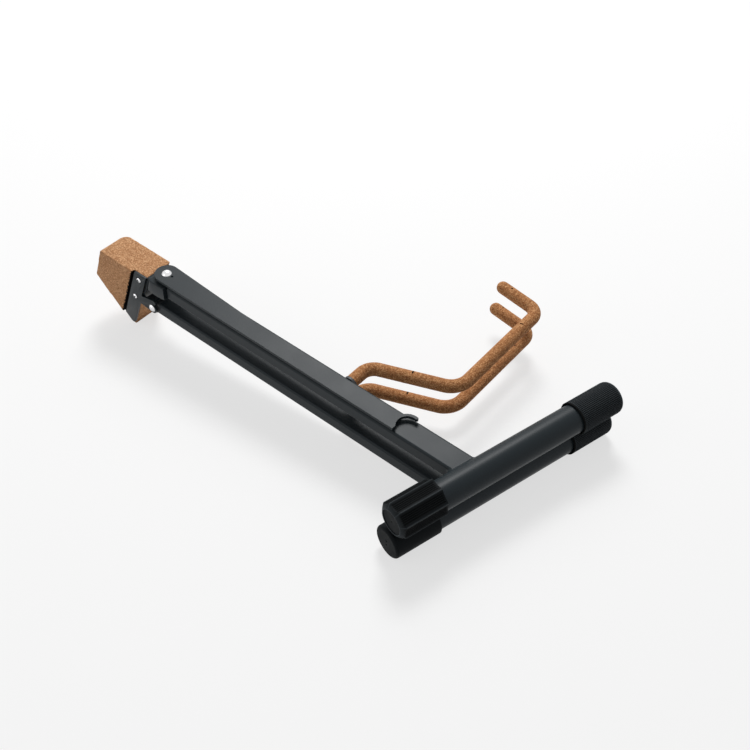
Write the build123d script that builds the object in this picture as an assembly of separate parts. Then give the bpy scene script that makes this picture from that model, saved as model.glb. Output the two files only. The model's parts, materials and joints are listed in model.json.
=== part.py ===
"""Folding stand for a cello, lying folded on its side.

The legs run along X from the head (low X) to the runners (high X). The runners and both
arms lie in planes parallel to the legs. Sizes are in millimetres.
"""
from build123d import *
from math import asin, atan2, cos, degrees, hypot, radians, sin, tan
import os

# Legs
LEG_WIDTH = 25.0
LEG_HEIGHT = 15.0
LEG_WALL = 1.5
LEG_CORNER = 2.5
LEG_REACH = 384.0          # bow holder's rivet to the axis of the upper runner
LEG_DROP = 33.0            # upper leg's axis to the lower leg's axis
LEG_STAGGER = 4.8          # the lower assembly sits this much nearer the head
PLUG_LENGTH = 24.0
PLUG_CLEARANCE = 0.1

# Runners and their caps
RUNNER_DIAMETER = 28.0
RUNNER_WALL = 1.5
RUNNER_ANGLE = 15.7        # the legs lean back from the runners by this much
RUNNER_BACK = 88.0         # leg axis to the end of the cap behind it
RUNNER_FRONT = 165.7       # leg axis to the end of the cap in front of it
CAP_DIAMETER = 32.4
BACK_CAP_LENGTH = 48.0
FRONT_CAP_LENGTH = 50.7
CAP_END_WALL = 5.0
CAP_EDGE = 3.0
FRONT_CAP_EDGE = 6.0
VENT_DIAMETER = 1.6
VENT_DEPTH = 2.5
VENT_SPACING = 5.0
WELD_LEG = 3.0
WELD_EASE = 0.05           # weld's root past the edge of its bead

# Levelling cap: an eight-sided grip, off the runner's centre, that turns on its runner
LEVEL_RIDGE_RADIUS = 18.2
LEVEL_SIDES = 8
LEVEL_OFFSET = 1.4         # grip's centre from the runner's axis
LEVEL_OFFSET_TURN = 50.0   # which way it is off centre, from vertical
LEVEL_RIDGE_TURN = 25.0    # first ridge, from vertical
LEVEL_HOLLOW = 0.5         # how far each side is hollowed below flat
LEVEL_RIDGE_EDGE = 0.8
LEVEL_TAPER = 4.0          # length of the shoulder between the ridges' ends and the rim
LEVEL_RIM_RADIUS = 13.0
LEVEL_DISC_RADIUS = 12.0
LEVEL_DISC_SUNK = 0.8
LEVEL_CLEARANCE = 0.05

# Arms: a bent rod inside a cork coat
ROD_DIAMETER = 8.0
CORK_DIAMETER = 13.2
ARM_X = 231.7              # where the arm leaves the leg
ARM_OUT = 40.7             # leg axis to the first bend
TROUGH_X = 314.2
TROUGH_Y = 73.6            # leg axis to the bottom bend
LIP_Y = 208.7              # leg axis to the front bend
TIP_X = 266.5
TIP_RISE = 7.0
BEND_OUT = 16.0
BEND_TROUGH = 22.0
BEND_LIP = 14.0
COLLAR_DIAMETER = 14.4
COLLAR_LENGTH = 3.0
ROD_SEAT = 18.0            # length of rod held inside the leg

# Head: a cork block whose two sides are parallel to the two legs when they stand open
OPEN_ANGLE = 45.0
HEAD_SIDE = 68.7
HEAD_TOP_WIDTH = 44.4
HEAD_FRONT = 19.0
HEAD_FOOT_X = -15.5
HEAD_DROP = 0.8            # head's upper side below the upper leg's face
HEAD_CORNER = 2.0
HEAD_NOSE_RADIUS = 8.5

# Steel bracket on the back of the head, with the ears of the leg hinge
SHEET = 2.5
PLATE_WIDTH = 15.5
PLATE_GAP = 2.5            # plate's edge to the side of its recess
PLATE_SHORT = 3.5          # plate's lower end short of the head's lower side
PLATE_CORNER = 4.0
PLATE_SUNK = 1.2           # plate's outer face below the cork around it
HINGE_GAP = 0.8            # ear to the side of the hinged leg
WEB_LENGTH = 48.0
HINGE_X = -14.0
PIN_DIAMETER = 6.0
EAR_RADIUS = 6.2
EAR_ROOT_ABOVE = 9.0
EAR_ROOT_BELOW = 4.0
STOP_DIAMETER = 3.0
STOP_BEHIND = 4.0          # contact point behind the hinge, along the open leg
STOP_GAP = 0.3
STOP_EAR_RADIUS = 3.0
NOSE_LENGTH = 11.0         # leg end behind the hinge
NOSE_EDGE = 2.0
LOWER_TUBE_START = 8.0     # hinge to the start of the lower leg's tube
BUSH_DIAMETER = 9.0
BUSH_CLEARANCE = 0.05
WASHER_DIAMETER = 14.0
WASHER_THICKNESS = 0.5
PIN_HEAD_DIAMETER = 8.4
PIN_HEAD_HEIGHT = 2.2

# Screws and bolt
SCREW_DIAMETER = 3.5
SCREW_HEAD_DIAMETER = 6.0
SCREW_HEAD_HEIGHT = 1.8
SCREW_LENGTH = 16.0
SCREW_EDGE = 12.3          # plate's upper end to the first screw
SCREW_PITCH = 31.5
BOLT_DIAMETER = 5.0
BOLT_HEAD_DIAMETER = 8.5
BOLT_HEAD_HEIGHT = 4.0
BOLT_GRIP = 9.0            # bolt length inside the upper leg's fitting

# Upper leg's end fitting
FITTING_CENTRE_X = -5.0
FITTING_END_X = 12.0

# Bow holder: a flat hook that swivels over the upper leg
HOLDER_THICKNESS = 3.0
HOLDER_WIDTH = 25.0
HOLDER_GAP = 2.6
HOLDER_NECK = 19.0         # width beyond the taper
HOLDER_TAPER_END = 118.0
HOLDER_TIP_X = 302.6
HOOK_X = 310.5
HOOK_Y = -1.0
HOOK_RADIUS = 10.5
HOOK_FINGER = 3.0
HOOK_END_ANGLE = 82.0
HOOK_ROOT_ANGLE = 160.0
HOOK_ROOT_FILLET = 5.0
RIVET_DIAMETER = 6.0
RIVET_HEAD_DIAMETER = 10.2
RIVET_HEAD_HEIGHT = 2.6
RIVET_FOOT_HEIGHT = 1.5
RIVET_CLEARANCE = 0.05
SPACER_DIAMETER = 16.0
DIMPLE_X = 8.0
DIMPLE_RADIUS = 1.4
DIMPLE_DEPTH = 0.7

# Heights and places that follow from the sizes above
CAP_RADIUS = CAP_DIAMETER / 2
RUNNER_RADIUS = RUNNER_DIAMETER / 2
LOWER_Z = CAP_RADIUS
UPPER_Z = LOWER_Z + LEG_DROP
UPPER_TOP_Z = UPPER_Z + LEG_HEIGHT / 2
UPPER_UNDER_Z = UPPER_Z - LEG_HEIGHT / 2
LOWER_REACH = LEG_REACH - LEG_STAGGER
RUNNER_DIR = Vector(sin(radians(RUNNER_ANGLE)), cos(radians(RUNNER_ANGLE)), 0)
HEAD_TOP_Z = UPPER_TOP_Z - HEAD_DROP
HINGE_Z = LOWER_Z
LEAN = radians(OPEN_ANGLE / 2)
FACE_DOWN = Vector(-sin(LEAN), 0, -cos(LEAN))
FACE_OUT = Vector(cos(LEAN), 0, -sin(LEAN))
EAR_INNER_Y = LEG_WIDTH / 2 + HINGE_GAP
EAR_OUTER_Y = EAR_INNER_Y + SHEET
HEAD_BACK = EAR_OUTER_Y + PLATE_SUNK
HOLDER_UNDER_Z = UPPER_TOP_Z + HOLDER_GAP
HOLDER_TOP_Z = HOLDER_UNDER_Z + HOLDER_THICKNESS
FAR = 1000.0


def on_runner(reach, along, z):
    """Point on a runner's axis, a distance along it from the leg's axis."""
    return Vector(reach, 0, z) + RUNNER_DIR * along


def rod(start, end, diameter):
    """Round bar between two points."""
    run = end - start
    return extrude(Plane(start, z_dir=run) * Circle(diameter / 2), amount=run.length)


def pipe(start, end, outer, inner):
    """Round tube between two points."""
    run = end - start
    ring = Circle(outer / 2) - Circle(inner / 2)
    return extrude(Plane(start, z_dir=run) * ring, amount=run.length)


def dome(base, direction, diameter, height):
    """Low round head standing on a plane."""
    ball = (diameter ** 2 / 4 + height ** 2) / (2 * height)
    plane = Plane(base, z_dir=direction)
    sphere = plane.offset(height - ball) * Sphere(ball)
    keep = extrude(plane * Circle(diameter), amount=height * 2)
    return sphere & keep


def slab(points, y_from, y_to):
    """Prism along Y from a closed outline of X and Z pairs."""
    outline = Polyline(*[(x, y_from, z) for x, z in points], close=True)
    return extrude(make_face(outline), amount=y_to - y_from, dir=(0, 1, 0))


def nearest_edge(shape, point):
    """The edge that passes closest to a point."""
    return shape.edges().sort_by_distance(point)[0]


def leg_section(x, z, shrink=0.0, corner=LEG_CORNER):
    """The leg's rounded outline, across X."""
    plane = Plane((x, 0, z), x_dir=(0, 1, 0), z_dir=(1, 0, 0))
    return plane * RectangleRounded(LEG_WIDTH - 2 * shrink, LEG_HEIGHT - 2 * shrink, corner)


def leg_bar(x_from, x_to, z, shrink=0.0, corner=LEG_CORNER):
    """Solid bar with the leg's outline."""
    return extrude(leg_section(x_from, z, shrink, corner), amount=x_to - x_from)


def runner_bar(reach, z, diameter=RUNNER_DIAMETER):
    """Solid bar where a runner is, long enough to cut with."""
    return rod(on_runner(reach, -RUNNER_BACK, z), on_runner(reach, RUNNER_FRONT, z), diameter)


def leg_shell(x_from, x_to, z):
    """Rectangular tube with square ends."""
    return leg_bar(x_from, x_to, z) - leg_bar(x_from, x_to, z, LEG_WALL, LEG_CORNER - LEG_WALL)


def weld_root_diameter():
    """Round about the runner through the edge of the weld's bead on the flat of the leg."""
    rise = LEG_HEIGHT / 2
    away = ((RUNNER_RADIUS + WELD_LEG) ** 2 - (rise + WELD_LEG) ** 2) ** 0.5
    return 2 * (hypot(away, rise) + WELD_EASE)


def leg_tube(x_from, reach, z):
    """Rectangular tube, coped to the weld on its runner, with the hole for its arm."""
    tube = leg_shell(x_from, reach, z) - runner_bar(reach, z, weld_root_diameter())
    arm_x = ARM_X - LEG_REACH + reach
    return tube - rod(Vector(arm_x, 0, z), Vector(arm_x, LEG_WIDTH, z), ROD_DIAMETER)


def plug(x_from, z):
    """Part of a fitting that is pressed into the leg."""
    shrink = LEG_WALL + PLUG_CLEARANCE
    return leg_bar(x_from, x_from + PLUG_LENGTH, z, shrink, LEG_CORNER - LEG_WALL)


def runner_tube(reach, z):
    """Runner between the end walls of its two caps."""
    start = on_runner(reach, CAP_END_WALL - RUNNER_BACK, z)
    end = on_runner(reach, RUNNER_FRONT - CAP_END_WALL, z)
    return pipe(start, end, RUNNER_DIAMETER, RUNNER_DIAMETER - 2 * RUNNER_WALL)


def weld(reach, z):
    """Weld between a leg's coped end and its runner, with a hollow bead round it."""
    leg = leg_bar(reach - RUNNER_DIAMETER * 2, reach, z)
    runner = runner_bar(reach, z)
    joined = leg + runner
    seam = [e for e in joined.edges() if abs(e.center().X - reach) < RUNNER_DIAMETER
            and abs(e.center().Y) < LEG_WIDTH / 2 + 1
            and abs((e @ 0 - e @ 1).X) < LEG_WIDTH * tan(radians(RUNNER_ANGLE)) + 1]
    bead = fillet(seam, WELD_LEG) - leg
    root = leg_shell(reach - RUNNER_DIAMETER, reach, z) & runner_bar(reach, z, weld_root_diameter())
    return bead + root - runner


def cap(reach, z, inner, outer, edge):
    """Round cap pushed over a runner's end. Inner and outer are distances along the runner."""
    start = on_runner(reach, inner, z)
    end = on_runner(reach, outer, z)
    body = rod(start, end, CAP_DIAMETER)
    body = fillet(nearest_edge(body, end + Vector(0, 0, CAP_RADIUS)), edge)
    seat = on_runner(reach, outer - CAP_END_WALL * (1 if outer > inner else -1), z)
    return body - rod(start, seat, RUNNER_DIAMETER)


def front_cap(reach, z):
    return cap(reach, z, RUNNER_FRONT - FRONT_CAP_LENGTH, RUNNER_FRONT, FRONT_CAP_EDGE)


def lower_back_cap():
    """Smooth cap with two small vents in its end."""
    body = cap(LOWER_REACH, LOWER_Z, BACK_CAP_LENGTH - RUNNER_BACK, -RUNNER_BACK, CAP_EDGE)
    for side in (-1, 1):
        mouth = on_runner(LOWER_REACH, -RUNNER_BACK, LOWER_Z) + Vector(0, 0, side * VENT_SPACING / 2)
        body -= rod(mouth, mouth + RUNNER_DIR * VENT_DEPTH, VENT_DIAMETER)
    return body


def levelling_section():
    """Outline of the levelling cap about the runner's axis, with X pointing up."""
    step = 360 / LEVEL_SIDES
    half_side = LEVEL_RIDGE_RADIUS * sin(radians(step / 2))
    flat = LEVEL_RIDGE_RADIUS * cos(radians(step / 2))
    hollow_radius = (half_side ** 2 + LEVEL_HOLLOW ** 2) / (2 * LEVEL_HOLLOW)
    section = RegularPolygon(LEVEL_RIDGE_RADIUS, LEVEL_SIDES, rotation=step / 2)
    for side in range(LEVEL_SIDES):
        away = Rot(0, 0, side * step) * Pos(flat + hollow_radius - LEVEL_HOLLOW, 0)
        section -= away * Circle(hollow_radius)
    return fillet(section.vertices(), LEVEL_RIDGE_EDGE)


def levelling_cap():
    """Off-centre grip with eight hollowed sides: turning it sets how high the runner's end stands."""
    turn = radians(LEVEL_OFFSET_TURN)
    grip = Pos(LEVEL_OFFSET * cos(turn), LEVEL_OFFSET * sin(turn))
    start = on_runner(LEG_REACH, BACK_CAP_LENGTH - RUNNER_BACK, UPPER_Z)
    end = on_runner(LEG_REACH, -RUNNER_BACK, UPPER_Z)
    mouth = Plane(start, x_dir=(0, 0, 1), z_dir=RUNNER_DIR * -1)
    face = Plane(end, x_dir=(0, 0, 1), z_dir=RUNNER_DIR * -1)
    phase = Rot(0, 0, LEVEL_RIDGE_TURN - 180 / LEVEL_SIDES)
    body = extrude(mouth * grip * phase * levelling_section(), amount=BACK_CAP_LENGTH)
    widest = LEVEL_RIM_RADIUS + (LEVEL_RIDGE_RADIUS - LEVEL_RIM_RADIUS) * BACK_CAP_LENGTH / LEVEL_TAPER
    shoulder = Cone(widest, LEVEL_RIM_RADIUS, BACK_CAP_LENGTH, align=(Align.CENTER, Align.CENTER, Align.MAX))
    body &= face * grip * shoulder
    body -= extrude(face * grip * Circle(LEVEL_DISC_RADIUS), amount=-LEVEL_DISC_SUNK)
    body -= extrude(face * grip * Circle(VENT_DIAMETER / 2), amount=-VENT_DEPTH)
    seat = on_runner(LEG_REACH, CAP_END_WALL - RUNNER_BACK, UPPER_Z)
    return body - rod(start, seat, RUNNER_DIAMETER + 2 * LEVEL_CLEARANCE)


def arm_path(reach, z, start_y):
    """Centreline of an arm: out of the leg, down to the trough, up to the lip and back."""
    shift = reach - LEG_REACH
    points = [(ARM_X, start_y), (ARM_X, ARM_OUT), (TROUGH_X, TROUGH_Y), (TROUGH_X, LIP_Y),
              (TIP_X, LIP_Y + TIP_RISE)]
    return FilletPolyline(*[(x + shift, y, z) for x, y in points],
                          radius=[BEND_OUT, BEND_TROUGH, BEND_LIP])


def swept(path, diameter):
    """Round bar along a path."""
    return sweep(Plane(path @ 0, z_dir=path % 0) * Circle(diameter / 2), path=path)


def arm_rod(reach, z):
    return swept(arm_path(reach, z, LEG_WIDTH / 2 - ROD_SEAT), ROD_DIAMETER)


def arm_cork(reach, z):
    """Cork coat with a rounded tip, from the collar to just past the rod's end."""
    path = arm_path(reach, z, LEG_WIDTH / 2 + COLLAR_LENGTH)
    coat = swept(path, CORK_DIAMETER) + Pos(path @ 1) * Sphere(CORK_DIAMETER / 2)
    return coat - arm_rod(reach, z)


def arm_collar(reach, z):
    """Ring between the leg and the start of the cork."""
    root = Vector(ARM_X + reach - LEG_REACH, LEG_WIDTH / 2, z)
    return pipe(root, root + Vector(0, COLLAR_LENGTH, 0), COLLAR_DIAMETER, ROD_DIAMETER)


def head_corners():
    """Head's outline from the side: two ends square to its middle, two sides along the legs."""
    foot_top = Vector(HEAD_FOOT_X, 0, HEAD_TOP_Z)
    end_top = foot_top - Vector(HEAD_SIDE, 0, 0)
    end_low = end_top + FACE_DOWN * HEAD_TOP_WIDTH
    foot_low = foot_top + FACE_DOWN * head_foot_width()
    return [end_top, end_low, foot_low, foot_top]


def head_foot_width():
    return HEAD_TOP_WIDTH + 2 * HEAD_SIDE * sin(LEAN)


def face_point(down, out, y=0.0):
    """Point near the head's foot face: distance down it from the top, and out from it."""
    place = Vector(HEAD_FOOT_X, y, HEAD_TOP_Z) + FACE_DOWN * down + FACE_OUT * out
    return place


def face_slab(down_from, down_to, out_from, out_to, y_from, y_to):
    """Flat plate square to the head's foot face."""
    corners = [(down_from, out_from), (down_to, out_from), (down_to, out_to), (down_from, out_to)]
    points = [face_point(down, out) for down, out in corners]
    return slab([(p.X, p.Z) for p in points], y_from, y_to)


def screw_places():
    """Heads of the bracket's screws, on the outside of its plate."""
    return [face_point(SCREW_EDGE + n * SCREW_PITCH, -PLATE_WIDTH / 2, -EAR_OUTER_Y) for n in range(2)]


def bolt_place():
    """Where the leg bolt crosses the outer face of the web."""
    down = (HEAD_TOP_Z - UPPER_Z) / cos(LEAN)
    return face_point(down, SHEET)


def leg_bolt():
    """Bolt through the web into the upper leg's fitting, with its head sunk in the cork."""
    crossing = bolt_place()
    under_head = crossing - FACE_OUT * SHEET
    head = rod(under_head - FACE_OUT * BOLT_HEAD_HEIGHT, under_head, BOLT_HEAD_DIAMETER)
    return head + rod(under_head, crossing + FACE_OUT * BOLT_GRIP, BOLT_DIAMETER)


def bracket_screw(place):
    shank = rod(place, place + Vector(0, SCREW_LENGTH, 0), SCREW_DIAMETER)
    return shank + dome(place, Vector(0, -1, 0), SCREW_HEAD_DIAMETER, SCREW_HEAD_HEIGHT)


def head_cork():
    """Cork block with the step for the bracket and the pockets for its fixings."""
    corners = head_corners()
    block = slab([(p.X, p.Z) for p in corners], -HEAD_BACK, HEAD_FRONT)
    middle = (corners[0] + corners[1]) * 0.5
    block = fillet(nearest_edge(block, middle + Vector(0, HEAD_FRONT, 0)), HEAD_NOSE_RADIUS)
    for corner in corners[1:3]:
        block = fillet(nearest_edge(block, corner + Vector(0, -HEAD_BACK / 2, 0)), HEAD_CORNER)
    block -= face_slab(-FAR, FAR, -PLATE_WIDTH - PLATE_GAP, FAR, -FAR, -EAR_INNER_Y)
    for place in screw_places():
        block -= rod(place, place + Vector(0, SCREW_LENGTH, 0), SCREW_DIAMETER)
    under_head = bolt_place() - FACE_OUT * SHEET
    return block - rod(under_head - FACE_OUT * BOLT_HEAD_HEIGHT, under_head, BOLT_HEAD_DIAMETER)


def hinge_point(y=0.0):
    return Vector(HINGE_X, y, HINGE_Z)


def stop_point(y=0.0):
    """Stop pin's axis: the open leg's upper face rests on it just behind the hinge."""
    turn = radians(OPEN_ANGLE)
    along = Vector(cos(turn), 0, -sin(turn))
    across = Vector(sin(turn), 0, cos(turn))
    rise = (LEG_HEIGHT + STOP_DIAMETER) / 2 + STOP_GAP
    return hinge_point(y) + across * rise - along * STOP_BEHIND


def ear(y_from, y_to):
    """Ear of the hinge, from the head's foot face to round ends about its two pins."""
    down = (HEAD_TOP_Z - HINGE_Z) / cos(LEAN)
    root_high = face_point(down - EAR_ROOT_ABOVE, 0)
    root_low = face_point(down + EAR_ROOT_BELOW, 0)
    hinge = hinge_point()
    stop = stop_point()
    outline = [root_high, stop + Vector(0, 0, STOP_EAR_RADIUS), stop, hinge,
               hinge - Vector(0, 0, EAR_RADIUS), root_low]
    plate = slab([(p.X, p.Z) for p in outline], y_from, y_to)
    for place, radius in ((hinge, EAR_RADIUS), (stop, STOP_EAR_RADIUS)):
        plate += rod(place + Vector(0, y_from, 0), place + Vector(0, y_to, 0), radius * 2)
    for place, diameter in ((hinge, PIN_DIAMETER), (stop, STOP_DIAMETER)):
        plate -= rod(place + Vector(0, y_from, 0), place + Vector(0, y_to, 0), diameter)
    return plate


def head_bracket():
    """Steel plate let into the back of the head, with the back ear of the hinge."""
    outline = slab([(p.X, p.Z) for p in head_corners()], -EAR_OUTER_Y, -EAR_INNER_Y)
    inward = PLATE_SHORT * cos(radians(OPEN_ANGLE))
    band = face_slab(0, head_foot_width(), -PLATE_WIDTH, 0, -EAR_OUTER_Y, -EAR_INNER_Y)
    plate = band & outline & Pos(inward, 0, inward) * outline
    tip = face_point(head_foot_width() - PLATE_SHORT / cos(LEAN), 0, -EAR_OUTER_Y + SHEET / 2)
    plate = fillet(nearest_edge(plate, tip), PLATE_CORNER)
    for place in screw_places():
        plate -= rod(place, place + Vector(0, SHEET, 0), SCREW_DIAMETER)
    return plate + ear(-EAR_OUTER_Y, -EAR_INNER_Y)


def hinge_yoke():
    """Steel web across the head's foot face, with the front ear of the hinge."""
    web = face_slab(0, WEB_LENGTH, 0, SHEET, -EAR_INNER_Y, EAR_INNER_Y)
    web -= rod(bolt_place() - FACE_OUT * SHEET, bolt_place(), BOLT_DIAMETER)
    return web + ear(EAR_INNER_Y, EAR_OUTER_Y)


def hinge_pin():
    """Riveted hinge pin with a low round head on each ear."""
    pin = rod(hinge_point(-EAR_OUTER_Y), hinge_point(EAR_OUTER_Y), PIN_DIAMETER)
    for side in (-1, 1):
        pin += dome(hinge_point(side * EAR_OUTER_Y), Vector(0, side, 0), PIN_HEAD_DIAMETER, PIN_HEAD_HEIGHT)
    return pin


def hinge_washer(side):
    """Thin washer lying against one ear."""
    face = hinge_point(side * EAR_INNER_Y)
    return pipe(face, face - Vector(0, side * WASHER_THICKNESS, 0), WASHER_DIAMETER, PIN_DIAMETER)


def stop_pin():
    return rod(stop_point(-EAR_OUTER_Y), stop_point(EAR_OUTER_Y), STOP_DIAMETER)


def upper_leg_fitting():
    """Round-nosed end of the upper leg, cut to seat on the web."""
    radius = LEG_WIDTH / 2
    nose_x = FITTING_CENTRE_X - radius
    block = leg_bar(nose_x, FITTING_END_X, UPPER_Z)
    plan = Pos(FITTING_CENTRE_X, 0, UPPER_UNDER_Z) * (
        Circle(radius) + Pos(radius, 0) * Rectangle(2 * radius, LEG_WIDTH))
    block &= extrude(plan, amount=LEG_HEIGHT)
    block += plug(FITTING_END_X, UPPER_Z)
    block -= face_slab(-FAR, FAR, -FAR, SHEET, -LEG_WIDTH, LEG_WIDTH)
    block -= rod(bolt_place(), bolt_place() + FACE_OUT * BOLT_GRIP, BOLT_DIAMETER)
    return block - rod(Vector(0, 0, UPPER_UNDER_Z), Vector(0, 0, UPPER_TOP_Z), RIVET_DIAMETER)


def lower_leg_fitting():
    """Hinged end of the lower leg, bored for its bush."""
    start_x = HINGE_X - NOSE_LENGTH
    end_x = HINGE_X + LOWER_TUBE_START
    low, high = LOWER_Z - LEG_HEIGHT / 2, LOWER_Z + LEG_HEIGHT / 2
    corners = [(start_x, low), (end_x, low), (end_x, high), (start_x, high)]
    outline = slab(corners, -LEG_WIDTH / 2, LEG_WIDTH / 2)
    nose = [nearest_edge(outline, Vector(start_x, 0, z)) for z in (low, high)]
    block = fillet(nose, NOSE_EDGE) & leg_bar(start_x - 1, end_x, LOWER_Z)
    block += plug(end_x, LOWER_Z)
    return block - rod(hinge_point(-LEG_WIDTH), hinge_point(LEG_WIDTH), BUSH_DIAMETER)


def hinge_bush():
    bore = PIN_DIAMETER + 2 * BUSH_CLEARANCE
    return pipe(hinge_point(-LEG_WIDTH / 2), hinge_point(LEG_WIDTH / 2), BUSH_DIAMETER, bore)


def holder_outline():
    """Bow holder from above: round pivot end, tapered strip and open hook."""
    far_edge = HOLDER_NECK - HOLDER_WIDTH / 2
    corners = [(0, -HOLDER_WIDTH / 2), (HOLDER_TIP_X, -HOLDER_WIDTH / 2), (HOLDER_TIP_X, HOOK_Y),
               (HOOK_X, HOOK_Y), (HOOK_X, far_edge), (HOLDER_TAPER_END, far_edge), (0, HOLDER_WIDTH / 2)]
    strip = make_face(Polyline(*corners, close=True)) + Circle(HOLDER_WIDTH / 2)
    hook = Pos(HOOK_X, HOOK_Y)
    reach = HOOK_RADIUS + HOOK_FINGER
    fan = [(0, 0)] + [(2 * reach * cos(radians(a)), 2 * reach * sin(radians(a)))
                      for a in (HOOK_END_ANGLE, (HOOK_END_ANGLE + HOOK_ROOT_ANGLE) / 2, HOOK_ROOT_ANGLE)]
    finger = Circle(reach) & make_face(Polyline(*fan, close=True))
    outline = strip + hook * finger - hook * Circle(HOOK_RADIUS)
    half = HOOK_FINGER / 2
    turn = radians(HOOK_END_ANGLE)
    tip = (HOOK_X + (HOOK_RADIUS + half) * cos(turn), HOOK_Y + (HOOK_RADIUS + half) * sin(turn))
    outline += Pos(*tip) * Circle(half)
    root_x = HOOK_X - (reach ** 2 - (far_edge - HOOK_Y) ** 2) ** 0.5
    root = outline.vertices().sort_by_distance((root_x, far_edge, 0))[0]
    return fillet(root, HOOK_ROOT_FILLET)


def bow_holder():
    """Flat steel hook with its pivot hole and a small detent dimple."""
    strip = extrude(Pos(0, 0, HOLDER_UNDER_Z) * holder_outline(), amount=HOLDER_THICKNESS)
    strip -= rod(Vector(0, 0, HOLDER_UNDER_Z), Vector(0, 0, HOLDER_TOP_Z), RIVET_DIAMETER + 2 * RIVET_CLEARANCE)
    ball = (DIMPLE_RADIUS ** 2 + DIMPLE_DEPTH ** 2) / (2 * DIMPLE_DEPTH)
    return strip - Pos(DIMPLE_X, 0, HOLDER_TOP_Z + ball - DIMPLE_DEPTH) * Sphere(ball)


def holder_rivet():
    """Rivet through the bow holder, its spacer and the leg's fitting."""
    top = Vector(0, 0, HOLDER_TOP_Z)
    foot = Vector(0, 0, UPPER_UNDER_Z)
    shank = rod(foot, top, RIVET_DIAMETER)
    lower_head = rod(foot - Vector(0, 0, RIVET_FOOT_HEIGHT), foot, RIVET_HEAD_DIAMETER)
    return shank + lower_head + dome(top, Vector(0, 0, 1), RIVET_HEAD_DIAMETER, RIVET_HEAD_HEIGHT)


def holder_spacer():
    return pipe(Vector(0, 0, UPPER_TOP_Z), Vector(0, 0, HOLDER_UNDER_Z), SPACER_DIAMETER, RIVET_DIAMETER)


def lying_turn():
    """Turn about the lower runner that brings the head's lowest corner down to its caps' level."""
    low = head_corners()[2]
    bend = low_corner_angle() / 2
    centre = low + corner_inward() * (HEAD_CORNER / sin(bend))
    centre = Vector(centre.X, -EAR_INNER_Y, centre.Z)
    offset = centre - Vector(LOWER_REACH, 0, LOWER_Z)
    across = Vector(cos(radians(RUNNER_ANGLE)), -sin(radians(RUNNER_ANGLE)), 0)
    behind = -offset.dot(across)
    drop = HEAD_CORNER - CAP_RADIUS
    return degrees(asin(drop / hypot(behind, offset.Z)) - atan2(offset.Z, behind))


def low_corner_angle():
    """Inside angle of the head's lowest corner, in radians."""
    corners = head_corners()
    side = corners[1] - corners[2]
    face = corners[3] - corners[2]
    return radians(side.get_angle(face))


def corner_inward():
    """Direction from the head's lowest corner into the cork."""
    corners = head_corners()
    side = (corners[1] - corners[2]).normalized()
    face = (corners[3] - corners[2]).normalized()
    return (side + face).normalized()


def pieces():
    """Every piece by name, with the legs level."""
    parts = {
        "head_cork_block": head_cork(),
        "head_bracket": head_bracket(),
        "hinge_yoke": hinge_yoke(),
        "hinge_pin": hinge_pin(),
        "hinge_stop_pin": stop_pin(),
        "hinge_washer_back": hinge_washer(-1),
        "hinge_washer_front": hinge_washer(1),
        "leg_bolt": leg_bolt(),
        "upper_leg_fitting": upper_leg_fitting(),
        "lower_leg_fitting": lower_leg_fitting(),
        "hinge_bush": hinge_bush(),
        "levelling_cap": levelling_cap(),
        "lower_back_cap": lower_back_cap(),
        "bow_holder": bow_holder(),
        "bow_holder_rivet": holder_rivet(),
        "bow_holder_spacer": holder_spacer(),
    }
    for number, place in enumerate(screw_places(), start=1):
        parts[f"bracket_screw_{number}"] = bracket_screw(place)
    tube_starts = {"upper": FITTING_END_X, "lower": HINGE_X + LOWER_TUBE_START}
    for level, reach, z in (("upper", LEG_REACH, UPPER_Z), ("lower", LOWER_REACH, LOWER_Z)):
        parts[f"{level}_leg_tube"] = leg_tube(tube_starts[level], reach, z)
        parts[f"{level}_runner_tube"] = runner_tube(reach, z)
        parts[f"{level}_runner_weld"] = weld(reach, z)
        parts[f"{level}_front_cap"] = front_cap(reach, z)
        parts[f"{level}_arm_rod"] = arm_rod(reach, z)
        parts[f"{level}_arm_cork"] = arm_cork(reach, z)
        parts[f"{level}_arm_collar"] = arm_collar(reach, z)
    return parts


def lying_place(parts):
    """Place that lays the stand on its side, with the origin under the middle of its box."""
    axis_point = Vector(LOWER_REACH, 0, LOWER_Z)
    turn = Rot(0, 0, -RUNNER_ANGLE) * Rot(0, lying_turn(), 0) * Rot(0, 0, RUNNER_ANGLE)
    laid = Pos(axis_point) * turn * Pos(axis_point * -1)
    box = Compound([laid * part for part in parts.values()]).bounding_box()
    return Pos(-box.center().X, -box.center().Y, -box.min.Z) * laid


if __name__ == "__main__":
    os.makedirs("parts", exist_ok=True)
    stand = pieces()
    place = lying_place(stand)
    for name, part in stand.items():
        export_step(place * part, f"parts/{name}.step")
    print("lying turn", round(lying_turn(), 3), "pieces", len(stand))
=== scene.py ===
"""Looks of a folding cello stand: cork, powder-coated steel, moulded rubber and bright rivets.

Places are given in the leg frame, in millimetres: X runs along the legs from the head to the
runners, Y from the back to the front, where the arms point, and Z from the lower leg to the
upper one. Its origin is on the bow holder's rivet, at the height of the lower leg's middle.
"""
from __future__ import annotations

import json
import logging
import math
from collections.abc import Callable, Iterable, Mapping, Sequence
from dataclasses import dataclass, field, replace
from enum import Enum
from typing import Any

import bmesh
import bpy
from mathutils import Matrix, Vector, noise

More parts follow.
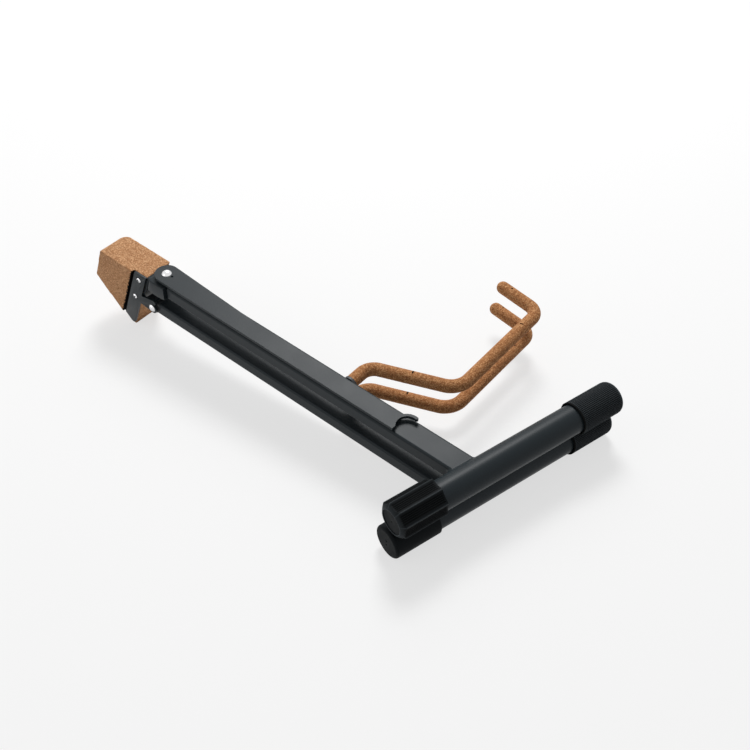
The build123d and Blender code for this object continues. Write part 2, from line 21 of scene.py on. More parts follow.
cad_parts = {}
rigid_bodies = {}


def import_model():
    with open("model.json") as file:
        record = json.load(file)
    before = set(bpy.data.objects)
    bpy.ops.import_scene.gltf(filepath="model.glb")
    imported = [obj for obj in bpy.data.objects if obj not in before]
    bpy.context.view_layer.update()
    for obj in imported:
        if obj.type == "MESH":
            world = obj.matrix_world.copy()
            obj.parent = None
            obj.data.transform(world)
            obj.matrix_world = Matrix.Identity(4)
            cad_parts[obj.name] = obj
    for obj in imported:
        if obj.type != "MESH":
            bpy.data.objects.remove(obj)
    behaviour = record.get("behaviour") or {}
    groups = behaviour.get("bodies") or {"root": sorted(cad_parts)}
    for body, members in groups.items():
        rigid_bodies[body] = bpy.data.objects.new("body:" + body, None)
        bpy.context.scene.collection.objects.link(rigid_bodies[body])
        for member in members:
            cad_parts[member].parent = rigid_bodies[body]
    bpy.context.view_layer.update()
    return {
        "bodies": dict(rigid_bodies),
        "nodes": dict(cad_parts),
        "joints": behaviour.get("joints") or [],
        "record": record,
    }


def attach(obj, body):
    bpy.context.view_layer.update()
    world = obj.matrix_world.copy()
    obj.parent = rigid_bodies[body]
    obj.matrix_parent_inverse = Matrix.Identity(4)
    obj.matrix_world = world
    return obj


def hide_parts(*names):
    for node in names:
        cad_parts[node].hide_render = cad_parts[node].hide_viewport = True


LOG = logging.getLogger("cello_stand")
MM = 0.001
PICTURE_SIZE = 750
# Name of the point attribute that carries painted shade where positive and painted highlight where negative.
SHADE_AND_HIGHLIGHT = "shade_and_highlight_share"


class Level(Enum):
    """One of the two legs with its runner and arm, and the body that it rides on."""

    UPPER = "upper"
    LOWER = "lower"

    @property
    def body(self) -> str:
        """The CAD body that this leg belongs to."""
        return "upper_frame" if self is Level.UPPER else "lower_leg"


@dataclass(frozen=True)
class LegFrame:
    """The legs' own directions in the row frame, read from the two leg joints."""

    origin: Vector
    along: Vector
    across: Vector
    up: Vector

    @classmethod
    def from_joints(cls, joints: Sequence[Mapping[str, Any]]) -> LegFrame:
        """Work the frame out from the leg hinge and the bow holder's rivet.

        Args:
            joints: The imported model's joints.

        Returns:
            The legs' frame in the row frame.
        """
        named = {joint["name"]: joint for joint in joints}
        hinge = named["leg_fold"]
        swivel = named["bow_holder_swivel"]
        up = -Vector(swivel["axis"]).normalized()
        across = Vector(hinge["axis"]).normalized()
        rivet = Vector(swivel["pos_m"])
        rise = (rivet - Vector(hinge["pos_m"])).dot(up)
        return cls(rivet - up * rise, across.cross(up), across, up)

    @property
    def turn(self) -> Matrix:
        """Rotation from leg directions to row directions."""
        return Matrix((self.along, self.across, self.up)).transposed()

    def point(self, place: Vector) -> Vector:
        """A place in leg millimetres as a point in row metres."""
        return self.origin + self.turn @ (place * MM)

    def place(self, point: Vector) -> Vector:
        """A point in row metres as a place in leg millimetres."""
        return self.turn.transposed() @ (point - self.origin) / MM


@dataclass
class Draft:
    """Points and faces of one piece, gathered in leg millimetres."""

    points: list[Vector] = field(default_factory=list)
    faces: list[tuple[int, ...]] = field(default_factory=list)
    # Each point's share of painted shade where positive and painted highlight where negative.
    painted_light_shares: dict[int, float] = field(default_factory=dict)

    def ring(self, places: Iterable[Vector]) -> range:
        """Add a row of points and give their numbers."""
        start = len(self.points)
        self.points.extend(places)
        return range(start, len(self.points))

    def bridge(self, first: range, second: range) -> None:
        """Join two closed rings of the same length with quads."""
        count = len(first)
        for here in range(count):
            after = (here + 1) % count
            self.faces.append((first[here], first[after], second[after], second[here]))

    def fan(self, ring: range, centre: Vector) -> None:
        """Close a ring with triangles that meet at a centre."""
        middle = self.ring([centre])[0]
        count = len(ring)
        for here in range(count):
            self.faces.append((ring[here], ring[(here + 1) % count], middle))

    def block(self, centre: Vector, size: Vector, spin: Matrix) -> None:
        """Add a closed box about a centre."""
        flat = [(-1, -1), (1, -1), (1, 1), (-1, 1)]
        low, high = (
            self.ring(centre + spin @ Vector((x * size.x, y * size.y, z * size.z)) / 2 for x, y in flat)
            for z in (-1, 1)
        )
        self.bridge(low, high)
        self.faces.append(tuple(reversed(low)))
        self.faces.append(tuple(high))

    def drum(self, centre: Vector, along: Vector, radius: float, sides: int = 24) -> None:
        """Add a closed round bar about a centre, from one end of along to the other."""
        side = along.orthogonal().normalized() * radius
        low, high = (
            self.ring(
                centre + along * half + Matrix.Rotation(math.tau * number / sides, 3, along) @ side
                for number in range(sides)
            )
            for half in (-0.5, 0.5)
        )
        self.bridge(low, high)
        self.faces.append(tuple(reversed(low)))
        self.faces.append(tuple(high))

    def build(self, name: str, frame: LegFrame, crease: float = 40.0) -> bpy.types.Object:
        """Make the object in the row frame.

        Args:
            name: The object's name.
            frame: Where the legs are.
            crease: Edges sharper than this many degrees stay sharp.

        Returns:
            The new object, linked to the scene.
        """
        mesh = bpy.data.meshes.new(name)
        mesh.from_pydata([frame.point(place) for place in self.points], [], self.faces)
        made = bpy.data.objects.new(name, mesh)
        bpy.context.scene.collection.objects.link(made)
        if self.painted_light_shares:
            shares = mesh.attributes.new(SHADE_AND_HIGHLIGHT, "FLOAT", "POINT")
            shares.data.foreach_set("value", [self.painted_light_shares.get(number, 0.0) for number in range(len(self.points))])
        tidy_normals(made)
        smooth_by_angle(made, crease)
        return made


def tidy_normals(piece: bpy.types.Object) -> None:
    """Turn every face of a closed mesh outwards."""
    work = bmesh.new()
    work.from_mesh(piece.data)
    bmesh.ops.recalc_face_normals(work, faces=work.faces)
    work.to_mesh(piece.data)
    work.free()


def smooth_by_angle(piece: bpy.types.Object, crease: float) -> None:
    """Shade a mesh smooth apart from edges that turn by more than crease degrees."""
    mesh = piece.data
    mesh.polygons.foreach_set("use_smooth", [True] * len(mesh.polygons))
    mesh.set_sharp_from_angle(angle=math.radians(crease))


def apply_modifiers(piece: bpy.types.Object) -> None:
    """Replace a piece's mesh by what its modifiers make of it."""
    graph = bpy.context.evaluated_depsgraph_get()
    mesh = bpy.data.meshes.new_from_object(piece.evaluated_get(graph))
    piece.modifiers.clear()
    piece.data = mesh


def copy_of(node: bpy.types.Object, name: str) -> bpy.types.Object:
    """A CAD node's mesh as a new object with its points merged."""
    mesh = node.data.copy()
    mesh.name = name
    mesh.materials.clear()
    made = bpy.data.objects.new(name, mesh)
    bpy.context.scene.collection.objects.link(made)
    work = bmesh.new()
    work.from_mesh(mesh)
    bmesh.ops.remove_doubles(work, verts=work.verts, dist=1e-6)
    work.to_mesh(mesh)
    work.free()
    return made


def eased_copy(node: bpy.types.Object, name: str, edge: float) -> bpy.types.Object:
    """A CAD node with its sharp edges rounded as paint and deburring leave them.

    Args:
        node: The CAD node's object.
        name: The new object's name.
        edge: How far each edge is rounded, in millimetres.

    Returns:
        The new object.
    """
    made = copy_of(node, name)
    work = bmesh.new()
    work.from_mesh(made.data)
    bmesh.ops.dissolve_limit(work, angle_limit=math.radians(1.0), verts=work.verts, edges=work.edges)
    work.to_mesh(made.data)
    work.free()
    bevel = made.modifiers.new("edge", "BEVEL")
    bevel.width = edge * MM
    bevel.segments = 3
    bevel.limit_method = "ANGLE"
    bevel.angle_limit = math.radians(38)
    bevel.use_clamp_overlap = True
    even = made.modifiers.new("even", "WEIGHTED_NORMAL")
    even.keep_sharp = True
    even.weight = 100
    smooth_by_angle(made, 60)
    apply_modifiers(made)
    return made


def pressed_copy(node: bpy.types.Object, name: str, grain: float, relief: float) -> bpy.types.Object:
    """A CAD node as cork: edges softened by wear and the surface lightly uneven.

    Args:
        node: The CAD node's object.
        name: The new object's name.
        grain: Size of the mesh's cells, in millimetres.
        relief: How far the surface rises and sinks, in millimetres.

    Returns:
        The new object.
    """
    made = copy_of(node, name)
    remesh = made.modifiers.new("grain", "REMESH")
    remesh.mode = "VOXEL"
    remesh.voxel_size = grain * MM
    soften = made.modifiers.new("wear", "SMOOTH")
    soften.factor = 0.5
    soften.iterations = 3
    apply_modifiers(made)
    roughen(made, relief)
    smooth_by_angle(made, 60)
    return made


def roughen(piece: bpy.types.Object, relief: float) -> None:
    """Make a surface lightly uneven.

    Args:
        piece: The object to change.
        relief: How far the surface rises and sinks, in millimetres.
    """
    mesh = piece.data
    normals = [vertex.normal.copy() for vertex in mesh.vertices]
    moved: list[float] = []
    for vertex, normal in zip(mesh.vertices, normals):
        place = vertex.co / MM
        height = noise.noise(place * 0.9) + 0.6 * noise.noise(place * 0.25)
        moved.extend(vertex.co + normal * height * relief * MM)
    mesh.vertices.foreach_set("co", moved)
    mesh.update()


class Value:
    """A number, colour or vector in a shader, with the sums that can be done on it."""

    def __init__(self, recipe: Recipe, socket: bpy.types.NodeSocket) -> None:
        """Wrap one output socket."""
        self.recipe = recipe
        self.socket = socket

    def _sum(self, operation: str, first: Any, second: Any) -> Value:
        """Add one Math node."""
        made = self.recipe.node("ShaderNodeMath", {"operation": operation}, {0: first, 1: second})
        return Value(self.recipe, made.outputs[0])

    def __add__(self, other: Any) -> Value:
        """This plus other."""
        return self._sum("ADD", self, other)

    def __radd__(self, other: Any) -> Value:
        """Other plus this."""
        return self._sum("ADD", other, self)

    def __sub__(self, other: Any) -> Value:
        """This minus other."""
        return self._sum("SUBTRACT", self, other)

    def __rsub__(self, other: Any) -> Value:
        """Other minus this."""
        return self._sum("SUBTRACT", other, self)

    def __mul__(self, other: Any) -> Value:
        """This times other."""
        return self._sum("MULTIPLY", self, other)

    def __rmul__(self, other: Any) -> Value:
        """Other times this."""
        return self._sum("MULTIPLY", other, self)


class Recipe:
    """The node tree of one material while it is written."""

    def __init__(self, tree: bpy.types.NodeTree) -> None:
        """Start an empty tree."""
        self.tree = tree
        tree.nodes.clear()

    def node(
        self,
        kind: str,
        settings: Mapping[str, Any] | None = None,
        sockets: Mapping[int | str, Any] | None = None,
    ) -> bpy.types.Node:
        """Add one node.

        Args:
            kind: The node's type.
            settings: Its properties, set first. A ramp's stops are (place, colour) pairs.
            sockets: Values or links for its inputs, by name or number.

        Returns:
            The new node.
        """
        made = self.tree.nodes.new(kind)
        for name, setting in (settings or {}).items():
            if name == "stops":
                self._set_stops(made.color_ramp, setting)
            else:
                setattr(made, name, setting)
        for key, value in (sockets or {}).items():
            self._feed(self._input(made, key), value)
        return made

    @staticmethod
    def _set_stops(ramp: bpy.types.ColorRamp, stops: Sequence[tuple[float, Sequence[float]]]) -> None:
        """Give a ramp its stops."""
        while len(ramp.elements) < len(stops):
            ramp.elements.new(1.0)
        for element, (place, colour) in zip(ramp.elements, stops):
            element.position = place
            element.color = (*colour, 1.0)

    @staticmethod
    def _input(made: bpy.types.Node, key: int | str) -> bpy.types.NodeSocket:
        """Find an input by its number, its identifier or its name."""
        if isinstance(key, int):
            return made.inputs[key]
        for socket in made.inputs:
            if socket.identifier == key:
                return socket
        return made.inputs[key]

    def _feed(self, socket: bpy.types.NodeSocket, value: Any) -> None:
        """Set a socket, or link something to it."""
        if isinstance(value, Value):
            self.tree.links.new(value.socket, socket)
        elif isinstance(value, bpy.types.NodeSocket):
            self.tree.links.new(value, socket)
        else:
            socket.default_value = value

    def place(self) -> bpy.types.NodeSocket:
        """The point on the piece, in row metres."""
        return self.node("ShaderNodeTexCoord").outputs["Object"]

    def cloud(self, per_mm: float, detail: float = 2.0, rough: float = 0.5) -> Value:
        """Soft noise from 0 to 1 with so many lumps to the millimetre."""
        sockets = {"Vector": self.place(), "Scale": per_mm / MM, "Detail": detail, "Roughness": rough}
        made = self.node("ShaderNodeTexNoise", {}, sockets)
        return Value(self, made.outputs[0])

    def cells(self, per_mm: float, output: str = "Distance") -> Value:
        """Granules with so many to the millimetre."""
        sockets = {"Vector": self.place(), "Scale": per_mm / MM}
        made = self.node("ShaderNodeTexVoronoi", {}, sockets)
        return Value(self, made.outputs[output])

    def band(self, source: Value, low: float, high: float) -> Value:
        """Source stretched so that low gives 0 and high gives 1."""
        sockets = {"Value": source, "From Min": low, "From Max": high}
        made = self.node("ShaderNodeMapRange", {"clamp": True}, sockets)
        return Value(self, made.outputs[0])

    def tone(self, colour: Value) -> Value:
        """The brightness of a colour as a number."""
        return Value(self, self.node("ShaderNodeRGBToBW", {}, {0: colour}).outputs[0])

    def blend(self, first: Any, second: Any, share: Any) -> Value:
        """A mix of two colours."""
        sockets = {"Factor_Float": share, "A_Color": first, "B_Color": second}
        made = self.node("ShaderNodeMix", {"data_type": "RGBA"}, sockets)
        return Value(self, made.outputs[2])

    def relief(self, height: Value, strength: float, depth: float) -> Value:
        """A bumped normal from a height, with its depth in millimetres."""
        sockets = {"Strength": strength, "Distance": depth * MM, "Height": height}
        return Value(self, self.node("ShaderNodeBump", {}, sockets).outputs[0])

    def finish(self, **sockets: Any) -> None:
        """Close the recipe with one Principled surface."""
        named = {name.replace("_", " "): value for name, value in sockets.items()}
        shader = self.node("ShaderNodeBsdfPrincipled", {}, named)
        self.node("ShaderNodeOutputMaterial", {}, {"Surface": shader.outputs[0]})


Colour = tuple[float, float, float]


def opaque(colour: Colour) -> tuple[float, float, float, float]:
    """A colour with full alpha."""
    return (*colour, 1.0)


@dataclass(frozen=True)
class Finish:
    """A surface finish. Each kind writes its own recipe."""

    name: str
    slot: str

    def write(self, recipe: Recipe) -> None:
        """Fill a recipe's node tree."""
        raise NotImplementedError

    def material(self) -> bpy.types.Material:
        """The finish's material, made once."""
        found = bpy.data.materials.get(self.name)
        if found is not None:
            return found
        made = bpy.data.materials.new(self.name)
        made.use_nodes = True
        self.write(Recipe(made.node_tree))
        return made

    def dress(self, piece: bpy.types.Object) -> None:
        """Give a piece this finish."""
        piece.data.materials.clear()
        piece.data.materials.append(self.material())


@dataclass(frozen=True)
class PowderCoat(Finish):
    """Satin black powder coat with its fine orange peel and a few scuffs."""

    colour: Colour = (0.0160, 0.0218, 0.0256)
    scuff: Colour = (0.030, 0.036, 0.040)
    gloss: float = 0.34
    shine: float = 0.135

    def write(self, recipe: Recipe) -> None:
        """Fill a recipe's node tree."""
        peel = recipe.cloud(1.6, 3.0, 0.6)
        patches = recipe.cloud(0.03, 3.0, 0.6)
        scuffs = recipe.band(recipe.cloud(0.35, 6.0, 0.8), 0.66, 0.8)
        # On the coat this share is scuffing wear only, no highlight.
        wear_and_highlight = scuffs * recipe.band(patches, 0.5, 0.7)
        colour = recipe.blend(opaque(self.colour), opaque(self.scuff), wear_and_highlight * 0.5)
        roughness = self.gloss + 0.10 * patches + 0.12 * wear_and_highlight
        recipe.finish(
            Base_Color=colour,
            Roughness=roughness,
            Specular_IOR_Level=self.shine,
            Normal=recipe.relief(peel, 0.25, 0.05),
        )


@dataclass(frozen=True)
class PressedCork(Finish):
    """Fine pressed cork: granules of several browns with pale flecks and dark pores."""

    base: Colour = (0.430, 0.184, 0.070)
    dark: Colour = (0.185, 0.068, 0.022)
    pale: Colour = (0.760, 0.430, 0.200)
    per_mm: float = 1.0

    def write(self, recipe: Recipe) -> None:
        """Fill a recipe's node tree."""
        tone = recipe.tone(recipe.cells(self.per_mm, "Color"))
        crumbs = recipe.tone(recipe.cells(2.1 * self.per_mm, "Color"))
        drift = recipe.band(recipe.cloud(0.05, 2.0, 0.5), 0.35, 0.65)
        pores = recipe.band(recipe.cloud(0.9, 5.0, 0.75), 0.40, 0.33)
        shadowed = recipe.band(tone * 0.6 + crumbs * 0.4, 0.46, 0.22)
        lit = recipe.band(tone * 0.6 + crumbs * 0.4, 0.54, 0.78)
        ground = recipe.blend(opaque(self.base), opaque(self.dark), shadowed * 0.75 + drift * 0.12)
        flecked = recipe.blend(ground, opaque(self.pale), lit * 0.8)
        colour = recipe.blend(flecked, opaque(self.dark), pores * 0.8)
        height = recipe.cells(self.per_mm) * 0.7 + recipe.cloud(1.4, 4.0, 0.7) - 1.2 * pores
        recipe.finish(
            Base_Color=colour,
            Roughness=0.86 - 0.10 * lit,
            Specular_IOR_Level=0.2,
            Normal=recipe.relief(height, 0.8, 0.5),
        )


@dataclass(frozen=True)
class MouldedRubber(Finish):
    """Matt black rubber with random paler patches, painted highlight on ridges, shoulder and rim, and painted shade in
    the grooves of its mesh and at its mouth.
    """

    colour: Colour = (0.0300, 0.0385, 0.0450)
    # Colour of the painted shade in the mesh's grooves and at the mouth.
    valley_shade: Colour = (0.0008, 0.0011, 0.0012)
    bloom: Colour = (0.050, 0.064, 0.074)
    # Colour of the painted highlight on ridges, shoulder and rim.
    painted_highlight: Colour = (0.050, 0.058, 0.064)
    shine: float = 0.10

    def write(self, recipe: Recipe) -> None:
        """Fill a recipe's node tree."""
        patches = recipe.band(recipe.cloud(0.08, 4.0, 0.6), 0.4, 0.7)
        grain = recipe.cloud(2.5, 3.0, 0.6)
        shade_and_highlight_share = Value(recipe, recipe.node("ShaderNodeAttribute", {"attribute_name": SHADE_AND_HIGHLIGHT}).outputs["Fac"])
        # Negative shares give the painted highlight.
        wear_and_highlight = recipe.band(shade_and_highlight_share, -0.05, -1.0)
        dull = recipe.blend(opaque(self.colour), opaque(self.bloom), patches * 0.35)
        highlighted = recipe.blend(dull, opaque(self.painted_highlight), wear_and_highlight)
        recipe.finish(
            # Painted shade: the larger a point's positive share, the darker it is drawn.
            Base_Color=recipe.blend(highlighted, opaque(self.valley_shade), recipe.band(shade_and_highlight_share, 0.1, 0.75)),
            Roughness=0.52 + 0.12 * patches + 0.25 * recipe.band(shade_and_highlight_share, 0.0, 1.0),
            Specular_IOR_Level=self.shine,
            Normal=recipe.relief(grain, 0.2, 0.04),
        )


@dataclass(frozen=True)
class MouldedNylon(Finish):
    """Black moulded nylon, finely grained."""

    colour: Colour = (0.0125, 0.0145, 0.0160)

    def write(self, recipe: Recipe) -> None:
        """Fill a recipe's node tree."""
        grain = recipe.cloud(1.8, 4.0, 0.65)
        patches = recipe.cloud(0.06, 2.0, 0.5)
        colour = recipe.blend(opaque(self.colour), opaque((0.03, 0.032, 0.036)), patches * 0.6)
        recipe.finish(
            Base_Color=colour,
            Roughness=0.46 + 0.10 * grain,
            Normal=recipe.relief(grain, 0.3, 0.06),
        )


@dataclass(frozen=True)
class Plate(Finish):
    """Bare or plated steel with fine drawing or turning marks."""

    colour: Colour = (0.78, 0.78, 0.79)
    polish: float = 0.14

    def write(self, recipe: Recipe) -> None:
        """Fill a recipe's node tree."""
        marks = recipe.cloud(2.2, 4.0, 0.7)
        haze = recipe.band(recipe.cloud(0.25, 3.0, 0.6), 0.35, 0.75)
        tint = tuple(channel * 0.78 for channel in self.colour)
        colour = recipe.blend(opaque(self.colour), opaque(tint), haze * 0.5)
        recipe.finish(
            Base_Color=colour,
            Metallic=1.0,
            Roughness=self.polish + 0.14 * haze,
            Normal=recipe.relief(marks, 0.12, 0.02),
        )


@dataclass(frozen=True)
class Finishes:
    """Every finish on the stand."""

    coat: Finish = PowderCoat("black powder coat", "black_paint")
    head_cork: Finish = PressedCork("head cork", "cork", (0.505, 0.253, 0.118), (0.250, 0.108, 0.044), (0.84, 0.52, 0.29))
    arm_cork: Finish = PressedCork("arm cork", "cork")
    rubber: Finish = MouldedRubber("moulded rubber", "rubber_caps")
    # A much darker copy of the cap rubber: painted shade for the back caps.
    shaded_rubber: Finish = MouldedRubber(
        "moulded rubber with painted shade", "rubber_caps", (0.0052, 0.0066, 0.0074), bloom=(0.009, 0.011, 0.012), shine=0.05
    )
    nylon: Finish = MouldedNylon("moulded nylon", "black_nylon")
    # Near-black painted shade for the walls of cuts, pin holes, screw recesses and the gap beside the head's plate.
    crevice_shade: Finish = MouldedRubber(
        "painted crevice shade", "rubber_caps", (0.0020, 0.0020, 0.0020), bloom=(0.003, 0.003, 0.003), shine=0.02
    )
    bright: Finish = Plate("bright plate", "bright_steel")
    drawn: Finish = Plate("drawn steel", "plain_steel", (0.48, 0.48, 0.50), 0.34)


@dataclass
class Workshop:
    """What every sub-assembly needs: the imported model, the legs' frame and the finishes."""

    frame: Mapping[str, Any]
    legs: LegFrame
    finishes: Finishes = field(default_factory=Finishes)
    reported: list[str] = field(default_factory=list)

    def node(self, name: str) -> bpy.types.Object:
        """A CAD node's object."""
        return self.frame["nodes"][name]

    def body_of(self, name: str) -> str:
        """The body that a CAD node rides on."""
        bodies = self.frame["record"]["behaviour"]["bodies"]
        return next(body for body, members in bodies.items() if name in members)

    def keep(self, name: str, finish: Finish) -> None:
        """Show a CAD node as it is, with a finish."""
        finish.dress(self.node(name))
        self.report(name)

    def stand_in(self, piece: bpy.types.Object, name: str, finish: Finish) -> None:
        """Show a piece in place of a CAD node."""
        finish.dress(piece)
        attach(piece, self.body_of(name))
        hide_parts(name)
        self.report(piece.name)

    def ease(self, name: str, edge: float, finish: Finish) -> None:
        """Show a CAD node with its edges rounded."""
        self.stand_in(eased_copy(self.node(name), f"{name}_eased", edge), name, finish)

    def report(self, name: str) -> None:
        """Note a finished piece."""
        self.reported.append(name)
        LOG.info("made %s", name)


@dataclass(frozen=True)
class Runner:
    """A runner tube's axis and the caps on its ends, in leg millimetres."""

    level: Level
    reach: float
    rise: float
    lean: float = 15.7

    @property
    def direction(self) -> Vector:
        """Unit vector along the runner, from back to front."""
        turn = math.radians(self.lean)
        return Vector((math.sin(turn), math.cos(turn), 0))

    def outward(self, angle: float) -> Vector:
        """Unit vector away from the axis, at an angle from the level side towards the top."""
        run = self.direction
        return Vector((run.y * math.cos(angle), -run.x * math.cos(angle), math.sin(angle)))

    def ring(self, centre: Vector, radii: Sequence[float], start: float = 0.0) -> list[Vector]:
        """Points round a centre, one for each radius, from a start angle on."""
        step = math.tau / len(radii)
        return [centre + self.outward(start + number * step) * radius for number, radius in enumerate(radii)]

    def centre(self, along: float) -> Vector:
        """A point on the axis."""
        return Vector((self.reach, 0, self.rise)) + self.direction * along


@dataclass(frozen=True)
class Cap:
    """A moulded cap on a runner's end, with a diamond mesh pressed into its side.

    Distances are measured along the runner from the leg's axis. The profile runs from the
    mouth to the end.
    """

    runner: Runner
    mouth: float
    end: float
    radius: float = 16.2
    bore: float = 14.1
    bore_depth: float = 6.0
    mouth_edge: float = 0.5
    end_edge: float = 6.0
    disc: float = 0.6
    cell: float = 1.7
    relief: float = 0.42
    cross_cut: float = 0.45
    # How much painted highlight the end rim gets, and how far from the mouth full painted shade reaches.
    rim_highlight: float = 0.0
    mouth_shade: float = 2.2
    funnel: float = 4.5

    @property
    def sign(self) -> float:
        """Plus one where the cap's end points to the front."""
        return 1.0 if self.end > self.mouth else -1.0

    @property
    def length(self) -> float:
        """From the mouth to the end."""
        return abs(self.end - self.mouth)

    @property
    def shift(self) -> Vector:
        """From the runner's axis to the middle of the grip."""
        return Vector()

    @property
    def start(self) -> float:
        """Angle of the first point round the grip."""
        return 0.0

    def around(self) -> int:
        """Number of points round the cap: two to each cell of the mesh."""
        return 2 * round(math.tau * self.radius / self.cell)

    def outer(self, angle: float, down: float) -> float:
        """Outer radius at an angle from the first point and a depth below the mouth."""
        lip = max(0.0, self.mouth_edge - down)
        into = max(0.0, down - (self.length - self.end_edge))
        mouth_loss = self.mouth_edge - math.sqrt(max(0.0, self.mouth_edge**2 - lip**2))
        end_loss = self.end_edge - math.sqrt(max(0.0, self.end_edge**2 - into**2))
        return self.radius - mouth_loss - end_loss

    def mesh_share(self, angle: float, down: float) -> float:
        """Share of the mesh's full depth at a place on the side."""
        from_mouth = (down - 2 * self.mouth_edge) / self.cell
        from_end = (self.length - 0.45 * self.end_edge - down) / self.cell
        return max(0.0, min(1.0, from_mouth, from_end))

    def groove(self, row: int, number: int) -> float:
        """Depth of the mesh at a point: its full depth between its ribs and half of it across them."""
        return 1.0 if number % 2 else self.cross_cut * (row % 2)

    def wear_and_highlight(self, angle: float, down: float) -> float:
        """How much painted highlight a place gets."""
        return 0.0

    def rows(self) -> list[float]:
        """Depths below the mouth of the rings that make the side."""
        rim = [self.mouth_edge * (1 - math.cos(math.pi / 2 * step / 4)) for step in range(4)]
        run = self.length - self.end_edge
        count = 2 * round((run - self.mouth_edge) / self.cell)
        side = [self.mouth_edge + (run - self.mouth_edge) * step / count for step in range(count)]
        arc = max(8, round(self.end_edge * math.pi / self.cell))
        turned = [run + self.end_edge * math.sin(math.pi / 2 * step / arc) for step in range(arc + 1)]
        return rim + side + turned

    def end_rings(self) -> list[tuple[float, float]]:
        """Radius and depth below the end of the rings that close the cap."""
        edge = self.radius - self.end_edge
        return [(edge - 0.9, 0.2), (edge - 1.2, self.disc), (edge * 0.55, self.disc - 0.05)]

    def build(self, name: str, legs: LegFrame) -> bpy.types.Object:
        """Make the cap's mesh.

        Args:
            name: The object's name.
            legs: Where the legs are.

        Returns:
            The new object.
        """
        draft = Draft()
        count = self.around()
        angles = [number * math.tau / count for number in range(count)]
        floor = self.runner.centre(self.mouth + self.sign * self.bore_depth)
        seat = draft.ring(self.runner.ring(floor, [self.bore] * count, self.start))
        throat = self.runner.centre(self.mouth + self.sign * self.funnel)
        neck = draft.ring(self.runner.ring(throat, [self.bore] * count, self.start))
        lips = [max(self.bore, self.outer(angle, 0.0) - self.mouth_edge) for angle in angles]
        last = draft.ring(self.runner.ring(self.runner.centre(self.mouth) + self.shift, lips, self.start))
        # Painted shade: the bore and the lip are drawn fully dark.
        draft.painted_light_shares.update((point, 1.0) for ring in (seat, neck, last) for point in ring)
        draft.bridge(seat, neck)
        draft.bridge(neck, last)
        for row, down in enumerate(self.rows()):
            sunk = [self.groove(row, number) * self.mesh_share(angle, down) for number, angle in enumerate(angles)]
            radii = [self.outer(angle, down) - self.relief * share for angle, share in zip(angles, sunk)]
            # Rows near the mouth get full painted shade; further on the mesh's grooves get painted shade, less the
            # painted highlight on ridges and shoulder.
            if down < self.mouth_shade:
                painted_light_shares = [1.0] * count
            else:
                painted_light_shares = [share - self.wear_and_highlight(angle, down) for angle, share in zip(angles, sunk)]
            centre = self.runner.centre(self.mouth + self.sign * down) + self.shift
            ring = draft.ring(self.runner.ring(centre, radii, self.start))
            draft.painted_light_shares.update(zip(ring, painted_light_shares))
            draft.bridge(last, ring)
            last = ring
        for number, (radius, sunk) in enumerate(self.end_rings()):
            centre = self.runner.centre(self.end - self.sign * sunk) + self.shift
            ring = draft.ring(self.runner.ring(centre, [radius] * count, self.start))
            # The rim's two outer rings get painted highlight.
            draft.painted_light_shares.update((point, -self.rim_highlight if number < 2 else 0.0) for point in ring)
            draft.bridge(last, ring)
            last = ring
        deepest = self.end_rings()[-1][1]
        draft.fan(last, self.runner.centre(self.end - self.sign * deepest) + self.shift)
        draft.fan(seat, floor)
        return draft.build(name, legs, 32)


